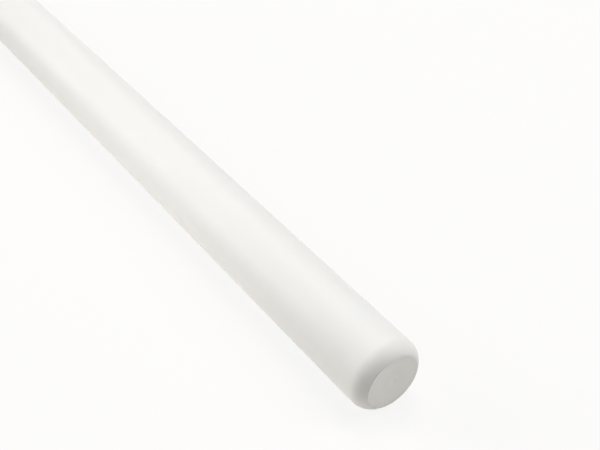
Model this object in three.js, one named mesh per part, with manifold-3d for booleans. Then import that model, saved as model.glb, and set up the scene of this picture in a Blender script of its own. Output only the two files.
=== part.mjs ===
// A fondant rolling pin: a plain barrel with no handles, made from heavy-wall polyethylene tube. Its rims
// are rounded over, and a moulded plug presses into each mouth until its head sits on a step in the bore.
// Millimetres, +Z up. The pin lies along X on the plane z = 0, with the origin under the barrel's middle.

import * as THREE from "three";
import { mergeVertices } from "three/addons/utils/BufferGeometryUtils.js";
import Module from "manifold-3d";

// Barrel tube
const TUBE_LENGTH = 400;
const TUBE_DIAMETER = 25;
const WALL = 5;
const RIM_RADIUS = 5.7; // of the rim's round, which the mouth cuts off before it is flat
const SEAT_WIDTH = 2; // of the step that the plug's head sits on
const SEAT_DEPTH = 3; // of the step, below the rim
const MOUTH_CHAMFER = 0.15;

// End plugs: head
const HEAD_CLEARANCE = 0.1; // round the head, in its socket
const HEAD_PROUD = 0.1; // of the face, above the mouth
const HEAD_EDGE_RADIUS = 0.3;
const FACE_WALL = 2;

// End plugs: hollow skirt, with fins that wipe the bore
const SKIRT_LENGTH = 16;
const SKIRT_WALL = 1.6;
const LEAD_IN_LENGTH = 2.5;
const TIP_WALL = 0.8;
const FIN_COUNT = 3;
const FIN_REACH = 1;
const FIN_CLEARANCE = 0.1; // between a fin and the bore
const FIN_ROOT = 1.4;
const FIN_EDGE = 0.6;
const WEB_THICKNESS = 1.2; // of the crossed webs that brace the skirt
const WEB_SETBACK = 4; // of the webs, from the skirt's tip

// Flat sides round the axis, one of them underneath so that the pin lies still, and steps along a rounded edge
const TUBE_SIDES = 48;
const PLUG_SIDES = 28;
const RIM_STEPS = 8;
const HEAD_EDGE_STEPS = 3;

const tubeRadius = TUBE_DIAMETER / 2;
const boreRadius = tubeRadius - WALL;
const socketRadius = boreRadius + SEAT_WIDTH;
const rimPlane = TUBE_LENGTH / 2;
const seatPlane = rimPlane - SEAT_DEPTH;

const whitePolyethylene = new THREE.MeshStandardMaterial({ color: 0xf3f3ef, roughness: 0.42, metalness: 0 });
const mouldedPolyethylene = new THREE.MeshStandardMaterial({ color: 0xf0f0ec, roughness: 0.5, metalness: 0 });

const wasm = await Module();
wasm.setup();

function solidOf(geometry) {
  const bare = new THREE.BufferGeometry().setAttribute("position", geometry.getAttribute("position"));
  bare.setIndex(geometry.getIndex());
  const merged = mergeVertices(bare);
  return new wasm.Manifold(
    new wasm.Mesh({
      numProp: 3,
      vertProperties: merged.getAttribute("position").array,
      triVerts: new Uint32Array(merged.getIndex().array),
    }),
  );
}

function geometryOf(solid) {
  const mesh = solid.getMesh();
  return new THREE.BufferGeometry()
    .setAttribute("position", new THREE.BufferAttribute(mesh.vertProperties, 3))
    .setIndex(new THREE.BufferAttribute(mesh.triVerts, 1));
}

// A solid of revolution about Y. Its profile holds points of radius and height, anticlockwise. Its flat sides touch
// the true circles, so its corners lie a little outside them.
function turned(profile, sides) {
  const halfSide = Math.PI / sides;
  const points = profile.map(([radius, height]) => new THREE.Vector2(radius / Math.cos(halfSide), height));
  return new THREE.LatheGeometry(points, sides, halfSide);
}

// A rounded edge: an arc from a circle's widest point, over an angle, up to the height of its top.
function roundedEdge(centreRadius, top, radius, angle, steps) {
  const centreHeight = top - radius * Math.sin(angle);
  return Array.from({ length: steps + 1 }, (_, step) => {
    const turn = (step / steps) * angle;
    return [centreRadius + radius * Math.cos(turn), centreHeight + radius * Math.sin(turn)];
  });
}

// One end of the tube, from the outside over the rim and down the stepped mouth to the bore.
function tubeEnd() {
  const mouthRadius = socketRadius + MOUTH_CHAMFER;
  const roundCentre = tubeRadius - RIM_RADIUS;
  const roundAngle = Math.acos(Math.max(mouthRadius - roundCentre, 0) / RIM_RADIUS);
  const flatRim = mouthRadius < roundCentre ? [[mouthRadius, rimPlane]] : [];
  return [
    ...roundedEdge(roundCentre, rimPlane, RIM_RADIUS, roundAngle, RIM_STEPS),
    ...flatRim,
    [socketRadius, rimPlane - MOUTH_CHAMFER],
    [socketRadius, seatPlane],
    [boreRadius, seatPlane],
  ];
}

function barrelTube() {
  const upperEnd = tubeEnd();
  const lowerEnd = upperEnd.map(([radius, height]) => [radius, -height]).reverse();
  const geometry = turned([...upperEnd, ...lowerEnd, upperEnd[0]], TUBE_SIDES);
  const tube = new THREE.Mesh(geometry, whitePolyethylene);
  tube.name = "barrel_tube";
  tube.rotation.z = -Math.PI / 2;
  return tube;
}

// The plug stands on its skirt, with the underside of its head at height 0.
function plugGeometry() {
  const headRadius = socketRadius - HEAD_CLEARANCE;
  const headTop = SEAT_DEPTH + HEAD_PROUD;
  const finRadius = boreRadius - FIN_CLEARANCE;
  const skirtRadius = finRadius - FIN_REACH;
  const cavityRadius = skirtRadius - SKIRT_WALL;
  const cavityTop = headTop - FACE_WALL;
  const finPitch = (SKIRT_LENGTH - LEAD_IN_LENGTH) / FIN_COUNT;

  const fins = Array.from({ length: FIN_COUNT }, (_, fin) => {
    const middle = -SKIRT_LENGTH + LEAD_IN_LENGTH + finPitch * (fin + 0.5);
    return [
      [skirtRadius, middle - FIN_ROOT / 2],
      [finRadius, middle - FIN_EDGE / 2],
      [finRadius, middle + FIN_EDGE / 2],
      [skirtRadius, middle + FIN_ROOT / 2],
    ];
  });
  const profile = [
    [0, cavityTop],
    [cavityRadius, cavityTop],
    [cavityRadius, -SKIRT_LENGTH],
    [cavityRadius + TIP_WALL, -SKIRT_LENGTH],
    [skirtRadius, -SKIRT_LENGTH + LEAD_IN_LENGTH],
    ...fins.flat(),
    [skirtRadius, 0],
    [headRadius, 0],
    ...roundedEdge(headRadius - HEAD_EDGE_RADIUS, headTop, HEAD_EDGE_RADIUS, Math.PI / 2, HEAD_EDGE_STEPS),
    [0, headTop],
  ];
  const shell = turned(profile, PLUG_SIDES);

  const webFoot = WEB_SETBACK - SKIRT_LENGTH;
  const webTop = cavityTop + FACE_WALL / 2;
  const webWidth = 2 * cavityRadius + SKIRT_WALL;
  const web = new THREE.BoxGeometry(webWidth, webTop - webFoot, WEB_THICKNESS);
  web.translate(0, (webTop + webFoot) / 2, 0);
  const crossWeb = web.clone().rotateY(Math.PI / 2);
  return geometryOf(solidOf(shell).add(solidOf(web)).add(solidOf(crossWeb)));
}

// side is +1 for the right end of the barrel and -1 for the left.
function endPlug(name, side) {
  const plug = new THREE.Mesh(plugGeometry(), mouldedPolyethylene);
  plug.name = name;
  plug.rotation.z = (-side * Math.PI) / 2;
  plug.position.x = side * seatPlane;
  return plug;
}

const pin = new THREE.Group();
pin.add(barrelTube(), endPlug("right_end_plug", 1), endPlug("left_end_plug", -1));
pin.position.z = tubeRadius;

const part = new THREE.Group();
part.add(pin);

export default part;
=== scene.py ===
"""A fondant rolling pin: a smooth white tube with rounded rims, and a moulded plug in each end."""

import math

import bmesh
import bpy
from bpy.props import FloatProperty, FloatVectorProperty, IntProperty, PointerProperty
from mathutils import Matrix, Vector


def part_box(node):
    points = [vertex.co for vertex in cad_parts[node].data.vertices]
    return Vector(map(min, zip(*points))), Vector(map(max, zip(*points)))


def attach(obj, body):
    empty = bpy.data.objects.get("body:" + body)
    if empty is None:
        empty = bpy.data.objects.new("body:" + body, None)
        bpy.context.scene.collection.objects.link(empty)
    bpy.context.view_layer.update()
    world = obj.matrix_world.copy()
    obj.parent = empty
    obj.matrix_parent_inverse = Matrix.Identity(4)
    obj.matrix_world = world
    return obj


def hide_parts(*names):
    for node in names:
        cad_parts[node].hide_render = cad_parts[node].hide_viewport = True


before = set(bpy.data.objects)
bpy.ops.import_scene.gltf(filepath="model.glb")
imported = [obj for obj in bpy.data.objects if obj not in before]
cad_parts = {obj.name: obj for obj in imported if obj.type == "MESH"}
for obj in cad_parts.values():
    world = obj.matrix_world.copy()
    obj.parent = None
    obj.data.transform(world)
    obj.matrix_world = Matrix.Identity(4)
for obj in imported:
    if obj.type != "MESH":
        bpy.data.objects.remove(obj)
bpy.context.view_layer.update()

bl_info = {
    "name": "Fondant Rolling Pin",
    "version": (1, 0, 0),
    "blender": (4, 5, 0),
    "location": "View3D > Sidebar > Rolling Pin",
    "description": "Models a fondant rolling pin over its packed frame, with a stage to show it on",
    "category": "Add Mesh",
}

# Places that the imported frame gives, in metres
BARREL_LOW, BARREL_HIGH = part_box("barrel_tube")
PLUG_LOW, PLUG_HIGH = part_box("right_end_plug")
AXIS_HEIGHT = (BARREL_LOW.z + BARREL_HIGH.z) / 2
BARREL_RADIUS = (BARREL_HIGH.z - BARREL_LOW.z) / 2
RIM_X = BARREL_HIGH.x
FACE_X = PLUG_HIGH.x
SKIRT_TIP_X = PLUG_LOW.x

# The photograph's frame, in pixels
PHOTO_WIDTH = 600
PHOTO_HEIGHT = 450

# The nearest distance that the camera draws, in metres
CLIP_START = 0.01

# Three large softboxes far off, in metres, and a small one with a grid that keeps its beam narrow
SOFTBOX_DISTANCE = 3.0
SOFTBOX_SIZE = 1.5
GRIDDED_DISTANCE = 1.2
GRIDDED_SIZE = 0.08
GRIDDED_SPREAD = math.radians(14)
GRIDDED_AIM_X = 0.4 * RIM_X

# From the middle of the floor to its edges, in metres, so that low views don't see them
FLOOR_REACH = 15.0

# Steps round the axis, along a rim's round, along a small edge, and along the edge of a plug's face
SIDES = 256
RIM_STEPS = 32
EDGE_STEPS = 3
FACE_EDGE_STEPS = 4

# Points that are nearer than these lie on the same circle, or are the same point, in metres
NEAR = 1e-5
SAME = 1e-6

# Edges that turn by more than this are drawn sharp
SHARP_ANGLE = math.radians(32)

# Polyethylene: how it bends light, the share of light that it lets in, how far each colour goes in
# beside the others, and the shade of its duller patches
PLASTIC_IOR = 1.54
INNER_LIGHT = 0.3
INNER_REACH = (1.0, 0.9, 0.8)
PATCH_SHADE = 0.985


def linear(hex_colour):
    """The linear red, green and blue of an sRGB hex colour."""
    channels = [int(hex_colour[i : i + 2], 16) / 255 for i in (0, 2, 4)]
    return [c / 12.92 if c <= 0.04045 else ((c + 0.055) / 1.055) ** 2.4 for c in channels]


def length_property(name, description, millimetres):
    """A size that is written in millimetres and kept in metres."""
    return FloatProperty(
        name=name, description=description, default=millimetres / 1000, min=0.0, precision=5, unit="LENGTH"
    )


def colour_property(name, description, hex_colour):
    """A colour that is written as sRGB hex and kept as linear values."""
    return FloatVectorProperty(
        name=name, description=description, default=linear(hex_colour), min=0.0, max=1.0, subtype="COLOR"
    )


def power_property(name, description, watts):
    """The power of a lamp."""
    return FloatProperty(
        name=name, description=description, default=watts, min=0.0, precision=4, unit="POWER"
    )


class BarrelSettings(bpy.types.PropertyGroup):
    """Sizes and colour of the barrel"""

    wall: length_property("Wall", "Thickness of the tube's wall", 5.0)
    rim_radius: length_property("Rim radius", "Radius of the rim's round, which the mouth cuts off", 5.7)
    seat_width: length_property("Seat width", "Width of the step that a plug's head sits on", 2.0)
    seat_depth: length_property("Seat depth", "Depth of that step below the rim", 3.0)
    mouth_edge: length_property("Mouth edge", "Width of the softened edge round each mouth", 0.06)
    colour: colour_property("Colour", "Colour of the extruded tube", "F5F4F1")


class PlugSettings(bpy.types.PropertyGroup):
    """Sizes and colour of the end plugs"""

    head_clearance: length_property("Head clearance", "Gap round the head, in its socket", 0.02)
    head_edge: length_property("Head edge", "Radius of the edge round the plug's face", 0.1)
    face_wall: length_property("Face wall", "Thickness of the head behind the face", 2.0)
    gate_radius: length_property("Gate radius", "Radius of the dimple round the moulding gate", 1.4)
    gate_depth: length_property("Gate depth", "Depth of that dimple", 0.2)
    skirt_wall: length_property("Skirt wall", "Thickness of the skirt", 1.6)
    tip_wall: length_property("Tip wall", "Thickness of the skirt at its tip", 0.8)
    lead_in: length_property("Lead-in", "Length of the taper at the skirt's tip", 2.5)
    fin_count: IntProperty(name="Fins", description="Number of fins round the skirt", default=3, min=1)
    fin_reach: length_property("Fin reach", "Height of a fin above the skirt", 1.0)
    fin_clearance: length_property("Fin clearance", "Gap between a fin and the bore", 0.1)
    fin_root: length_property("Fin root", "Thickness of a fin at the skirt", 1.4)
    fin_edge: length_property("Fin edge", "Thickness of a fin at the bore", 0.6)
    web_thickness: length_property("Web thickness", "Thickness of the crossed webs in the skirt", 1.2)
    web_setback: length_property("Web setback", "Distance of the webs from the skirt's tip", 4.0)
    fillet: length_property("Fillet", "Radius of the edges and corners of the skirt, fins and webs", 0.2)
    colour: colour_property("Colour", "Colour of the moulded plugs", "F3F3F0")


class StageSettings(bpy.types.PropertyGroup):
    """Camera, floor and light"""

    azimuth: FloatProperty(
        name="Azimuth",
        description="Turn of the camera round the pin, from looking along +Y",
        default=math.radians(54.43),
        subtype="ANGLE",
        unit="ROTATION",
    )
    elevation: FloatProperty(
        name="Elevation",
        description="Angle of the camera above the floor",
        default=math.radians(39.77),
        subtype="ANGLE",
        unit="ROTATION",
    )
    lens: FloatProperty(name="Lens", description="Focal length in millimetres, on 36 mm film", default=60.0)
    rim_distance: length_property("Rim distance", "Distance of the near rim's centre, along the view", 292.9)
    rim_pixel: FloatVectorProperty(
        name="Rim pixel",
        description="Where the near rim's centre lies in the picture, right and down in pixels",
        default=(392.73, 382.24),
        size=2,
    )
    floor_colour: colour_property("Floor", "Colour of the floor", "F3EFE9")
    floor_glow: FloatProperty(
        name="Floor glow",
        description="Share of plain white in the floor that the camera sees",
        default=0.85,
        min=0.0,
        max=1.0,
        subtype="FACTOR",
    )
    ambient: FloatProperty(
        name="Ambient", description="Strength of the light from all round", default=0.1, min=0.0
    )
    back_light: power_property("Back light", "Power of the low softbox behind the pin, at its left", 45.0)
    front_light: power_property("Front light", "Power of the softbox before the near end", 37.0)
    top_light: power_property("Top light", "Power of the softbox above the pin", 40.0)
    side_light: power_property("Side light", "Power of the gridded softbox at the barrel's left side", 0.013)


def add_node(tree, kind, settings=None, inputs=None):
    """Adds a node. Settings are its own options, and inputs are values for its sockets or sockets to link."""
    node = tree.nodes.new(kind)
    for name, value in (settings or {}).items():
        setattr(node, name, value)
    for name, value in (inputs or {}).items():
        if isinstance(value, bpy.types.NodeSocket):
            tree.links.new(value, node.inputs[name])
        else:
            node.inputs[name].default_value = value
    return node


def new_material(name):
    """A material with an empty node tree."""
    material = bpy.data.materials.new(name)
    material.use_nodes = True
    material.node_tree.nodes.clear()
    return material


def noise(tree, place, size, detail):
    """A noise whose marks are about as wide as the size."""
    inputs = {"Vector": place, "Scale": 1 / size, "Detail": detail}
    return add_node(tree, "ShaderNodeTexNoise", inputs=inputs).outputs["Fac"]


def relief(tree, height, depth, under=None):
    """The normals of a relief of that depth in metres, over those of the relief under it."""
    inputs = {"Height": height, "Strength": 1.0, "Distance": depth}
    if under is not None:
        inputs["Normal"] = under
    return add_node(tree, "ShaderNodeBump", inputs=inputs).outputs[0]


def add_polyethylene(tree, colour, patches, gloss, normal, reach):
    """Adds the plastic's shader and the output. Light goes into it about as far as the reach, in metres."""
    tone = add_node(
        tree,
        "ShaderNodeMix",
        settings={"data_type": "RGBA"},
        inputs={
            "Factor": patches,
            "A": (*colour, 1.0),
            "B": (*(PATCH_SHADE * c for c in colour), 1.0),
        },
    )
    shader = add_node(
        tree,
        "ShaderNodeBsdfPrincipled",
        inputs={
            "Base Color": tone.outputs["Result"],
            "Roughness": gloss,
            "IOR": PLASTIC_IOR,
            "Subsurface Weight": INNER_LIGHT,
            "Subsurface Radius": INNER_REACH,
            "Subsurface Scale": reach,
            "Normal": normal,
        },
    )
    add_node(tree, "ShaderNodeOutputMaterial", inputs={"Surface": shader.outputs[0]})


def extruded_polyethylene(colour):
    """High-density polyethylene, extruded and buffed at the rims.

    To the eye it is a milky satin white that lets light a little way in. It has faint lines along the draw,
    a slight waviness, and a gloss that handling has made uneven.
    """
    material = new_material("extruded_polyethylene")
    tree = material.node_tree
    place = add_node(tree, "ShaderNodeTexCoord").outputs["Object"]

    # Draw lines about 1.2 mm apart that run on for about 250 mm
    drawn = add_node(
        tree, "ShaderNodeMapping", inputs={"Vector": place, "Scale": (1 / 0.25, 1 / 0.0012, 1 / 0.0012)}
    )
    lines = noise(tree, drawn.outputs[0], size=1.0, detail=2.0)
    # Waviness about 7 mm long
    waves = noise(tree, place, size=0.007, detail=1.0)
    # The satin grain is under 0.1 mm, and is drawn at 0.8 mm so that it shows
    grain = noise(tree, place, size=0.0008, detail=2.0)
    # Handling has polished patches about 30 mm across
    patches = noise(tree, place, size=0.03, detail=3.0)

    wavy = relief(tree, waves, depth=0.00002)
    lined = relief(tree, lines, depth=0.000008, under=wavy)
    grained = relief(tree, grain, depth=0.000006, under=lined)
    gloss = add_node(
        tree,
        "ShaderNodeMapRange",
        inputs={"Value": patches, "From Min": 0.3, "From Max": 0.7, "To Min": 0.52, "To Max": 0.62},
    )
    add_polyethylene(tree, colour, patches, gloss.outputs["Result"], grained, reach=0.0015)
    return material


def moulded_polyethylene(colour):
    """Polyethylene, injection moulded in a spark-eroded cavity.

    To the eye it is a duller white than the barrel, with a fine, even grain and faint rings where it flowed
    out from the gate in the middle of the face.
    """
    material = new_material("moulded_polyethylene")
    tree = material.node_tree
    place = add_node(tree, "ShaderNodeTexCoord").outputs["Object"]

    # Eroded grain of about 0.2 mm, drawn at 0.5 mm so that it shows
    grain = noise(tree, place, size=0.0005, detail=2.0)
    # Flow rings about 6 mm apart round the axis: at a scale of 1, the wave repeats every 0.31 m
    centred = add_node(
        tree, "ShaderNodeMapping", inputs={"Vector": place, "Location": (0.0, 0.0, -AXIS_HEIGHT)}
    )
    flow = add_node(
        tree,
        "ShaderNodeTexWave",
        settings={"wave_type": "RINGS", "rings_direction": "X"},
        inputs={"Vector": centred.outputs[0], "Scale": 50.0, "Distortion": 2.0, "Detail": 2.0},
    )
    rings = flow.outputs["Fac"]

    grained = relief(tree, grain, depth=0.000006)
    gloss = add_node(tree, "ShaderNodeMapRange", inputs={"Value": rings, "To Min": 0.58, "To Max": 0.66})
    add_polyethylene(tree, colour, rings, gloss.outputs["Result"], grained, reach=0.0012)
    return material


def seen_plainly(tree):
    """A socket that is 1 for what the camera sees, directly, in a gloss or through glass."""
    path = add_node(tree, "ShaderNodeLightPath")
    direct_or_gloss = add_node(
        tree,
        "ShaderNodeMath",
        settings={"operation": "MAXIMUM"},
        inputs={0: path.outputs["Is Camera Ray"], 1: path.outputs["Is Glossy Ray"]},
    )
    seen = add_node(
        tree,
        "ShaderNodeMath",
        settings={"operation": "MAXIMUM"},
        inputs={0: direct_or_gloss.outputs[0], 1: path.outputs["Is Transmission Ray"]},
    )
    return seen.outputs[0]


def floor_paint(colour, glow):
    """Matt white paint, lifted towards plain white where it is seen, with the pin's shadow kept."""
    material = new_material("matt_floor_paint")
    tree = material.node_tree
    paint = add_node(tree, "ShaderNodeBsdfDiffuse", inputs={"Color": (*colour, 1.0)})
    white = add_node(tree, "ShaderNodeEmission", inputs={"Strength": 1.0})
    share = add_node(
        tree, "ShaderNodeMath", settings={"operation": "MULTIPLY"}, inputs={0: seen_plainly(tree), 1: glow}
    )
    mixed = add_node(
        tree, "ShaderNodeMixShader", inputs={0: share.outputs[0], 1: paint.outputs[0], 2: white.outputs[0]}
    )
    add_node(tree, "ShaderNodeOutputMaterial", inputs={"Surface": mixed.outputs[0]})
    return material


def draw_arc(mesh, start, centre, angle, steps):
    """Adds an arc to a profile in the XZ plane, from a vertex round a centre, and returns its last vertex."""
    swept = bmesh.ops.spin(mesh, geom=[start], cent=centre, axis=(0.0, 1.0, 0.0), angle=angle, steps=steps)
    return swept["geom_last"][0]


def draw_line(mesh, start, points):
    """Adds straight stretches to a profile, through points of x and radius, and returns the last vertex."""
    for x, radius in points:
        end = mesh.verts.new((x, 0.0, AXIS_HEIGHT + radius))
        mesh.edges.new((start, end))
        start = end
    return start


def turn_profile(mesh):
    """Spins the profile in a bmesh about the pin's axis."""
    bmesh.ops.spin(
        mesh,
        geom=mesh.verts[:] + mesh.edges[:],
        cent=(0.0, 0.0, AXIS_HEIGHT),
        axis=(1.0, 0.0, 0.0),
        angle=2 * math.pi,
        steps=SIDES,
        use_merge=True,
    )
    bmesh.ops.remove_doubles(mesh, verts=mesh.verts, dist=SAME)
    bmesh.ops.recalc_face_normals(mesh, faces=mesh.faces)


def round_edges(mesh, edges, width, segments=EDGE_STEPS):
    """Rounds edges of a bmesh."""
    bmesh.ops.bevel(
        mesh, geom=edges, offset=width, segments=segments, profile=0.5, affect="EDGES", material=-1
    )


def soften(mesh, x, radius, width, segments=EDGE_STEPS):
    """Rounds the edge of the circle at that place and radius."""

    def on_circle(point):
        reach = math.hypot(point.co.y, point.co.z - AXIS_HEIGHT)
        return abs(point.co.x - x) < NEAR and abs(reach - radius) < NEAR

    circle = [edge for edge in mesh.edges if all(on_circle(point) for point in edge.verts)]
    if not circle:
        raise ValueError(f"there is no circle of radius {radius} at x {x}")
    round_edges(mesh, circle, width, segments)


def united(solid, extras):
    """One bmesh of a closed bmesh with others joined to it by boolean unions."""
    blanks = []
    for mesh in (solid, *extras):
        data = bpy.data.meshes.new("blank")
        mesh.to_mesh(data)
        mesh.free()
        blank = bpy.data.objects.new("blank", data)
        bpy.context.scene.collection.objects.link(blank)
        blanks.append(blank)
    for blank in blanks[1:]:
        union = blanks[0].modifiers.new("union", "BOOLEAN")
        union.operation = "UNION"
        union.solver = "EXACT"
        union.object = blank
    joined = bmesh.new()
    joined.from_object(blanks[0], bpy.context.evaluated_depsgraph_get())
    # Removing a mesh also removes the object that shows it
    for blank in blanks:
        bpy.data.meshes.remove(blank.data)
    return joined


def make_piece(name, mesh, material):
    """A smooth object from a bmesh, with its place in its mesh."""
    data = bpy.data.meshes.new(name)
    mesh.to_mesh(data)
    mesh.free()
    data.materials.append(material)
    data.shade_smooth()
    data.set_sharp_from_angle(angle=SHARP_ANGLE)
    piece = bpy.data.objects.new(name, data)
    bpy.context.scene.collection.objects.link(piece)
    return piece


def barrel_mesh(barrel):
    """The tube: half of its profile is turned, its mouth's edges are softened, and the half is mirrored."""
    bore = BARREL_RADIUS - barrel.wall
    socket = bore + barrel.seat_width
    seat_x = RIM_X - barrel.seat_depth
    round_centre = BARREL_RADIUS - barrel.rim_radius
    round_angle = math.acos((socket - round_centre) / barrel.rim_radius)
    round_x = RIM_X - barrel.rim_radius * math.sin(round_angle)

    mesh = bmesh.new()
    middle = mesh.verts.new((0.0, 0.0, AXIS_HEIGHT + BARREL_RADIUS))
    shoulder = draw_line(mesh, middle, [(round_x, BARREL_RADIUS)])
    mouth = draw_arc(mesh, shoulder, (round_x, 0.0, AXIS_HEIGHT + round_centre), round_angle, RIM_STEPS)
    draw_line(mesh, mouth, [(seat_x, socket), (seat_x, bore), (0.0, bore)])
    turn_profile(mesh)
    soften(mesh, RIM_X, socket, barrel.mouth_edge)
    soften(mesh, seat_x, bore, barrel.mouth_edge)
    bmesh.ops.mirror(mesh, geom=mesh.verts[:] + mesh.edges[:] + mesh.faces[:], axis="X", merge_dist=SAME)
    bmesh.ops.recalc_face_normals(mesh, faces=mesh.faces)
    return mesh


def plug_mesh(barrel, plug):
    """The right plug: a flat head with a gate dimple, and a hollow skirt with fins and crossed webs."""
    bore = BARREL_RADIUS - barrel.wall
    seat_x = RIM_X - barrel.seat_depth
    head = bore + barrel.seat_width - plug.head_clearance
    fin_radius = bore - plug.fin_clearance
    skirt = fin_radius - plug.fin_reach
    cavity = skirt - plug.skirt_wall
    cavity_x = FACE_X - plug.face_wall
    tip = cavity + plug.tip_wall
    lead_in_x = SKIRT_TIP_X + plug.lead_in
    gate_x = FACE_X - plug.gate_depth
    pitch = (seat_x - lead_in_x) / plug.fin_count
    root, edge = plug.fin_root / 2, plug.fin_edge / 2

    shell = bmesh.new()
    inside = shell.verts.new((cavity_x, 0.0, AXIS_HEIGHT))
    corners = [(cavity_x, cavity), (SKIRT_TIP_X, cavity), (SKIRT_TIP_X, tip)]
    end = draw_line(shell, inside, corners + [(lead_in_x, skirt)])
    for number in range(plug.fin_count):
        middle = lead_in_x + pitch * (number + 0.5)
        fin = [
            (middle - root, skirt),
            (middle - edge, fin_radius),
            (middle + edge, fin_radius),
            (middle + root, skirt),
        ]
        end = draw_line(shell, end, fin)
        corners += fin
    under_head = [(seat_x, skirt), (seat_x, head)]
    end = draw_line(shell, end, under_head + [(FACE_X, head)])
    corners += under_head
    # A ring beside each edge of the face keeps it flat under smooth shading
    face_rings = [(FACE_X, head - 2 * plug.head_edge), (FACE_X, plug.gate_radius + plug.head_edge)]
    gate = [(FACE_X, plug.gate_radius), (gate_x, plug.gate_radius / 2), (gate_x, 0.0)]
    draw_line(shell, end, face_rings + gate)
    turn_profile(shell)
    soften(shell, FACE_X, head, plug.head_edge, FACE_EDGE_STEPS)
    for x, radius in corners:
        soften(shell, x, radius, plug.fillet)

    # The webs run a little way into the head and the skirt
    web_foot = SKIRT_TIP_X + plug.web_setback
    web_top = cavity_x + plug.face_wall / 2
    web_middle = Matrix.Translation(((web_foot + web_top) / 2, 0.0, AXIS_HEIGHT))
    web_size = Matrix.Diagonal((web_top - web_foot, 2 * cavity + plug.skirt_wall, plug.web_thickness, 1.0))
    webs = []
    for turn in (0.0, math.pi / 2):
        web = bmesh.new()
        bmesh.ops.create_cube(web, size=1.0, matrix=web_middle @ Matrix.Rotation(turn, 4, "X") @ web_size)
        round_edges(web, web.edges[:], plug.fillet)
        webs.append(web)
    return united(shell, webs)


def add_camera(scene, stage):
    """A camera that sees the near rim's centre at its pixel and distance."""
    turn, lift = stage.azimuth, stage.elevation
    right = Vector((math.cos(turn), math.sin(turn), 0.0))
    back = Vector((math.sin(turn) * math.cos(lift), -math.cos(turn) * math.cos(lift), math.sin(lift)))
    up = back.cross(right)
    camera = bpy.data.objects.new("Camera", bpy.data.cameras.new("Camera"))
    camera.data.lens = stage.lens
    camera.data.clip_start = CLIP_START
    focal_pixels = stage.lens / camera.data.sensor_width * PHOTO_WIDTH
    across = (stage.rim_pixel[0] - PHOTO_WIDTH / 2) / focal_pixels
    down = (stage.rim_pixel[1] - PHOTO_HEIGHT / 2) / focal_pixels
    rim_centre = Vector((RIM_X, 0.0, AXIS_HEIGHT))
    camera.location = rim_centre + stage.rim_distance * (back - across * right + down * up)
    camera.rotation_euler = back.to_track_quat("Z", "Y").to_euler()
    scene.collection.objects.link(camera)
    scene.camera = camera


def add_floor(stage):
    """The floor that the pin lies on."""
    mesh = bmesh.new()
    bmesh.ops.create_grid(mesh, x_segments=1, y_segments=1, size=FLOOR_REACH)
    floor = make_piece("floor", mesh, floor_paint(stage.floor_colour, stage.floor_glow))


def add_world(scene, stage):
    """Faint light from all round, and plain white where the camera sees past the floor."""
    world = bpy.data.worlds.new("studio")
    world.use_nodes = True
    tree = world.node_tree
    tree.nodes.clear()
    strength = add_node(
        tree,
        "ShaderNodeMapRange",
        inputs={"Value": seen_plainly(tree), "To Min": stage.ambient, "To Max": 1.0},
    )
    light = add_node(
        tree,
        "ShaderNodeBackground",
        inputs={"Color": (1.0, 1.0, 1.0, 1.0), "Strength": strength.outputs[0]},
    )
    add_node(tree, "ShaderNodeOutputWorld", inputs={"Surface": light.outputs[0]})
    scene.world = world


def add_softbox(
    name, watts, azimuth, elevation, aim_x=RIM_X, distance=SOFTBOX_DISTANCE, size=SOFTBOX_SIZE, spread=math.pi
):
    """A square lamp that faces a place on the pin's axis. Azimuth, from +X, and elevation are in degrees."""
    turn, lift = math.radians(azimuth), math.radians(elevation)
    outward = Vector((math.cos(lift) * math.cos(turn), math.cos(lift) * math.sin(turn), math.sin(lift)))
    softbox = bpy.data.objects.new(name, bpy.data.lights.new(name, "AREA"))
    softbox.data.energy = watts
    softbox.data.size = size
    softbox.data.spread = spread
    softbox.location = Vector((aim_x, 0.0, AXIS_HEIGHT)) + distance * outward
    softbox.rotation_euler = outward.to_track_quat("Z", "Y").to_euler()
    bpy.context.scene.collection.objects.link(softbox)


class FONDANTPIN_OT_set_stage(bpy.types.Operator):
    """Set up the camera, the floor and the light"""

    bl_idname = "fondant_pin.set_stage"
    bl_label = "Set Stage"

    def execute(self, context):
        scene = context.scene
        stage = scene.fondant_pin_stage
        scene.view_settings.view_transform = "Standard"
        add_camera(scene, stage)
        add_floor(stage)
        add_world(scene, stage)
        add_softbox("back_softbox", stage.back_light, azimuth=215, elevation=22)
        add_softbox("front_softbox", stage.front_light, azimuth=60, elevation=45)
        add_softbox("top_softbox", stage.top_light, azimuth=145, elevation=70)
        # The gridded one lights the near half of the barrel, and little of it reaches the near end
        add_softbox(
            "side_softbox",
            stage.side_light,
            azimuth=268,
            elevation=12,
            aim_x=GRIDDED_AIM_X,
            distance=GRIDDED_DISTANCE,
            size=GRIDDED_SIZE,
            spread=GRIDDED_SPREAD,
        )
        return {"FINISHED"}


class FONDANTPIN_OT_make_barrel(bpy.types.Operator):
    """Make the barrel: an extruded tube with rounded rims and stepped mouths"""

    bl_idname = "fondant_pin.make_barrel"
    bl_label = "Make Barrel"

    def execute(self, context):
        barrel = context.scene.fondant_pin_barrel
        piece = make_piece("buffed_barrel", barrel_mesh(barrel), extruded_polyethylene(barrel.colour))
        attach(piece, "barrel")
        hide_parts("barrel_tube")
        return {"FINISHED"}


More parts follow.
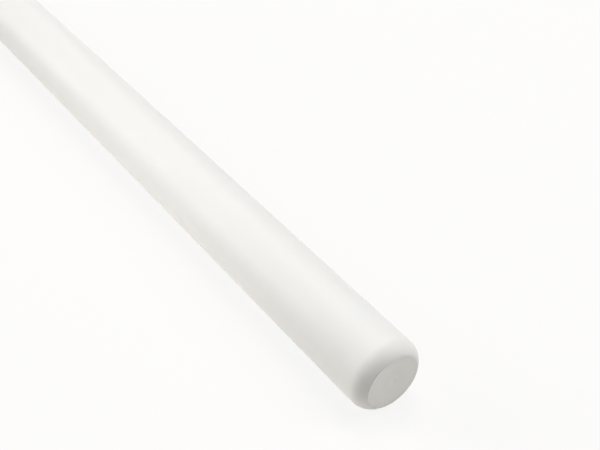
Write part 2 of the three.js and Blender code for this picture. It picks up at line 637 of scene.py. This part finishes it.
class FONDANTPIN_OT_make_end_plugs(bpy.types.Operator):
    """Make the two end plugs: flat heads with hollow, finned and webbed skirts"""

    bl_idname = "fondant_pin.make_end_plugs"
    bl_label = "Make End Plugs"

    def execute(self, context):
        barrel = context.scene.fondant_pin_barrel
        plug = context.scene.fondant_pin_plug
        material = moulded_polyethylene(plug.colour)
        for side, turn in (("right", 0.0), ("left", math.pi)):
            mesh = plug_mesh(barrel, plug)
            rotation = Matrix.Rotation(turn, 3, "Z")
            bmesh.ops.rotate(mesh, cent=(0.0, 0.0, 0.0), matrix=rotation, verts=mesh.verts)
            piece = make_piece(f"{side}_plug_moulding", mesh, material)
            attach(piece, f"{side}_plug")
            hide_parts(f"{side}_end_plug")
        return {"FINISHED"}


class VIEW3D_PT_fondant_pin(bpy.types.Panel):
    """Lists the pin's settings and the steps that make it"""

    bl_label = "Fondant Rolling Pin"
    bl_space_type = "VIEW_3D"
    bl_region_type = "UI"
    bl_category = "Rolling Pin"

    def draw(self, context):
        for owner, operator in (
            (context.scene.fondant_pin_stage, "fondant_pin.set_stage"),
            (context.scene.fondant_pin_barrel, "fondant_pin.make_barrel"),
            (context.scene.fondant_pin_plug, "fondant_pin.make_end_plugs"),
        ):
            box = self.layout.box()
            for name in owner.__annotations__:
                box.prop(owner, name)
            box.operator(operator)


CLASSES = (
    BarrelSettings,
    PlugSettings,
    StageSettings,
    FONDANTPIN_OT_set_stage,
    FONDANTPIN_OT_make_barrel,
    FONDANTPIN_OT_make_end_plugs,
    VIEW3D_PT_fondant_pin,
)


def register():
    for cls in CLASSES:
        bpy.utils.register_class(cls)
    bpy.types.Scene.fondant_pin_barrel = PointerProperty(type=BarrelSettings)
    bpy.types.Scene.fondant_pin_plug = PointerProperty(type=PlugSettings)
    bpy.types.Scene.fondant_pin_stage = PointerProperty(type=StageSettings)


def unregister():
    del bpy.types.Scene.fondant_pin_stage
    del bpy.types.Scene.fondant_pin_plug
    del bpy.types.Scene.fondant_pin_barrel
    for cls in reversed(CLASSES):
        bpy.utils.unregister_class(cls)


def main():
    register()
    bpy.ops.fondant_pin.set_stage()
    bpy.ops.fondant_pin.make_barrel()
    bpy.ops.fondant_pin.make_end_plugs()


if __name__ == "__main__":
    main()
